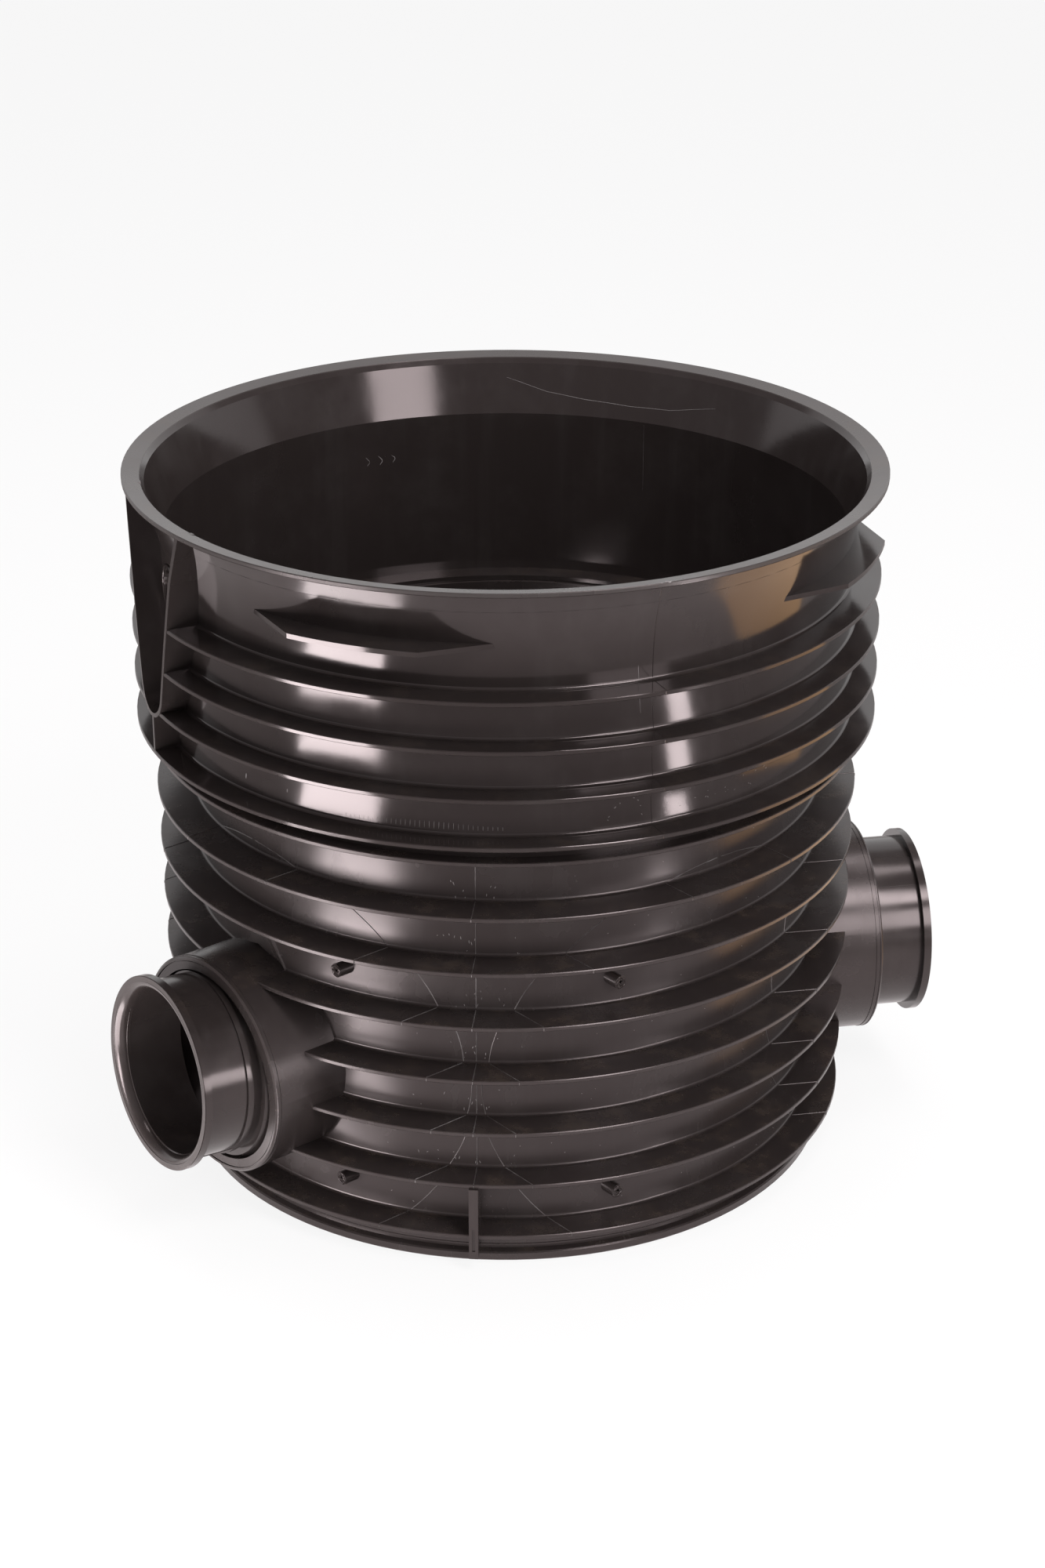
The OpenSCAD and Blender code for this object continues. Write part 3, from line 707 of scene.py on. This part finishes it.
# the white scuff, then specks along the front parting line and over the ribs
marks = [mark((-87.5, -83.5), (329.5, 330), 2.2, 0.2, radius=RING_WALL),
         mark((-87, -84.5), (331, 331.5), 1.2, 0.15, radius=RING_WALL)]
for low, high in zip(BASE_RIBS[1:7], BASE_RIBS[2:] - RIB_EDGE):
    for _ in range(9):
        a, z = -90 + rng.normal(0, 3.2), low + rng.uniform(0.6, 14.0)
        marks.append(mark((a, a + rng.uniform(-0.2, 0.2)), (z, z + rng.uniform(0.5, 2.4)),
                          0.5, 0.15, radius=base_radius, n=4))
for _ in range(70):
    rib = rng.integers(0, 7)
    a, z = rng.uniform(-112.0, -20.0), BASE_RIBS[rib] + rng.uniform(1.0, 20.0)
    marks.append(mark((a, a + rng.uniform(-0.3, 0.3)), (z, z + rng.uniform(0.2, 0.9)),
                      0.5, 0.12, radius=base_radius, n=4))
piece("base_handling_marks", marks, rubbed_plastic, "chamber")

# %% [markdown]
# The rim was trimmed by hand, so short curls of plastic still cling to its edge. Each is
# a bead along a stretch of the edge that sways out and in as a sine.

# %% Curls on the rim
# azimuth of each curl and half its length
CURLS = ((-62.3, 2.2), (-63.4, 1.4), (-174.3, 1.8), (-112.0, 0.8), (-100.0, 0.7), (-52.0, 1.0),
         (-31.0, 0.8), (-5.0, 0.7), (31.0, 0.9), (142.0, 0.9), (168.0, 0.8))
curls = []
for azimuth, size in CURLS:
    out, along = towards(azimuth), np.append(sideways_of(azimuth), 0)
    s = np.linspace(-1, 1, 9)[:, None]
    edge = (RIM_RADIUS / MM - 0.9) * out + (0, 0, RIM_TOP / MM - 0.2)
    path = edge + size * s * along + 0.25 * size * np.sin(3 * s) * out
    curls.append(bead(path, (0, 0, 1), 0.32 * size, 0.25 * size))
piece("rim_curls", curls, seam_plastic, "chamber")

# %% [markdown]
# The studio is a white sweep: a pale floor that runs out to a pale backdrop. The camera
# sees it as white, which is the background's colour and not more light, and part of the
# floor stays an ordinary surface so that the chamber keeps its shadow. What the plastic
# mirrors of the floor is a painted pool of light: its glow is painted bright near the
# foot, where the lamps would reach it, and darker further out. The room above and in
# front of the sweep is dim, which is why black plastic looks black beside so much white.

# %% Floor and world
# LIT_OUT_TO and DIM_FROM bound the painted pool of light in the floor's mirrored glow
FLOOR_SIZE, LIT_OUT_TO, DIM_FROM, GLOW_SHARE = 30.0, 0.40, 1.15, 0.85
NEAR_FLOOR, FAR_FLOOR = (1.15, 1.08, 1.08, 1), (0.36, 0.325, 0.32, 1)
WHITE, ROOM, FILL = (1, 1, 1, 1), (0.30, 0.278, 0.278, 1), (0.66, 0.64, 0.65, 1)
# The backdrop stands on the far side: how steeply its top edge climbs there, and the
# heights between which it gives way to the room.
BACKDROP_CLIMB, BACKDROP_EDGE = 0.75, (0.16, 0.04)


def background_rays(tree):
    """Two masks: 1 for camera rays, and 1 for camera, mirror and glass rays."""
    path = tree.nodes.new("ShaderNodeLightPath")
    kinds = [Term(tree, path.outputs[k]) for k in
             ("Is Camera Ray", "Is Glossy Ray", "Is Transmission Ray")]
    return kinds[0], kinds[0].max(kinds[1]).max(kinds[2])


corners = np.array([(-1, -1, 0), (1, -1, 0), (1, 1, 0), (-1, 1, 0)], float) * FLOOR_SIZE / 2
floor_mesh = bpy.data.meshes.new("floor")
floor_mesh.from_pydata(corners.tolist(), [], [(0, 1, 2, 3)])
floor = bpy.data.objects.new("floor", floor_mesh)
bpy.context.scene.collection.objects.link(floor)
floor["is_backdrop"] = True
floor_paint = bpy.data.materials.new("floor paint")
floor_paint.use_nodes = True
tree = floor_paint.node_tree
tree.nodes.remove(tree.nodes["Principled BSDF"])
straight, seen = background_rays(tree)
matt = seen.node("ShaderNodeBsdfDiffuse", None, {"Color": (0.75, 0.75, 0.75, 1)})
# painted pool of light: the floor's glow in reflections, bright near the foot and darker further
# out
painted_floor_glow = place_of(tree)[1].ramp(DIM_FROM, LIT_OUT_TO).mix(FAR_FLOOR, NEAR_FLOOR)
glow = seen.node("ShaderNodeEmission", None,
                 {"Color": straight.mix(painted_floor_glow, WHITE), "Strength": 1.0})
mixed = seen.node("ShaderNodeMixShader", None, {0: seen * GLOW_SHARE, 1: matt, 2: glow})
tree.links.new(mixed.socket, tree.nodes["Material Output"].inputs["Surface"])
floor.data.materials.append(floor_paint)

world = bpy.data.worlds.new("studio")
bpy.context.scene.world = world
world.use_nodes = True
tree = world.node_tree
back = tree.nodes["Background"]
camera_ray, seen = background_rays(tree)
around = Term(tree, tree.nodes.new("ShaderNodeTexCoord").outputs["Generated"])
direction = seen.node("ShaderNodeSeparateXYZ", None, {0: around})
across, up = (Term(tree, direction.socket.node.outputs[i]) for i in (1, 2))
backdrop = (up - across.max(0.0) * BACKDROP_CLIMB).ramp(*BACKDROP_EDGE).max(camera_ray)
tree.links.new(seen.mix(FILL, backdrop.mix(ROOM, WHITE)).socket, back.inputs["Color"])
back.inputs["Strength"].default_value = 1.0
print("floor", FLOOR_SIZE, "m wide")

# %% [markdown]
# Softboxes are what give black plastic its shape: their white faces show in it as bright
# bands. A camera that looks down sees, in an upright wall, what stands low in front of
# it. So the ribbed wall is striped by a strip just above the floor on the left, a lit
# panel on the floor beside it carries the stripe down over the base, and a narrow strip
# on the right adds a second, thinner stripe. A warm card on the floor gives the golden
# sheen at the right edge. One softbox faces the open mouth, one stands high on the
# right, and one overhead fills in.

# %% Lamps
def softbox(name, at, aim, width, height, radiance, colour=(1.0, 0.97, 0.97)):
    """A rectangular lamp at a point, turned to face another; radiance 1 looks white."""
    lamp = bpy.data.lights.new(name, "AREA")
    lamp.shape, lamp.size, lamp.size_y = "RECTANGLE", width, height
    lamp.energy, lamp.color = radiance * math.pi * width * height, colour
    made = bpy.data.objects.new(name, lamp)
    bpy.context.scene.collection.objects.link(made)
    made.location = at
    made.rotation_mode = "QUATERNION"
    made.rotation_quaternion = (Vector(aim) - Vector(at)).to_track_quat("-Z", "Y")
    return made


softbox("low left strip", (-0.64, -0.70, 0.12), (-0.14, -0.21, 0.12), 0.41, 0.23, 20)
panel = softbox("left floor panel", (-0.42, -0.40, 0.004), (-0.42, -0.40, 1.0), 0.30, 0.34, 11)
panel.visible_camera = False
card = softbox("low warm card", (0.92, 0.08, 0.004), (0.92, 0.08, 1.0), 0.80, 0.56, 1.5,
               colour=(1.0, 0.52, 0.12))
card.visible_camera = False
softbox("mouth softbox", (1.30, -1.40, 1.00), (0, 0, 0.55), 0.80, 0.75, 9)
softbox("low right strip", (1.10, -0.75, 0.20), (0.25, 0.0, 0.15), 0.16, 0.34, 16)
softbox("high right softbox", (1.10, -1.20, 2.20), (0, 0, 0.3), 0.75, 0.75, 16)
softbox("top softbox", (0.1, 0.3, 2.4), (0, 0, 0.4), 1.4, 1.2, 6)

# %% [markdown]
# The camera stands a little over two metres away and looks down on the rim, as a person
# standing in front of the chamber would. Its place is worked out in steps: a bearing
# round the axis, a height, then a look that tips down and turns a trace to the right.

# %% Camera
CAMERA_BEARING, CAMERA_DISTANCE, CAMERA_HEIGHT = math.radians(-84.7), 2.104, 1.215
CAMERA_TURN, CAMERA_TIP = math.radians(0.33), math.radians(24.33)
LENS, SENSOR = 70.63, 36.0

camera_data = bpy.data.cameras.new("camera")
camera_data.lens, camera_data.sensor_width = LENS, SENSOR
camera = bpy.data.objects.new("camera", camera_data)
bpy.context.scene.collection.objects.link(camera)
camera.location = (CAMERA_DISTANCE * math.cos(CAMERA_BEARING),
                   CAMERA_DISTANCE * math.sin(CAMERA_BEARING), CAMERA_HEIGHT)
heading = CAMERA_BEARING + math.pi - CAMERA_TURN
look = Vector((math.cos(heading) * math.cos(CAMERA_TIP),
               math.sin(heading) * math.cos(CAMERA_TIP), -math.sin(CAMERA_TIP)))
camera.rotation_mode = "QUATERNION"
camera.rotation_quaternion = look.to_track_quat("-Z", "Y")
bpy.context.scene.camera = camera
bpy.context.scene.view_settings.view_transform = "Standard"
print("camera at", [round(v, 3) for v in camera.location])

# %% [markdown]
# Last, the size of the dressed model's box is printed, in millimetres.

# %% Sizes and finish
low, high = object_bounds()
print("dressed box, mm:", [round((h - l) / MM, 1) for l, h in zip(low, high)])
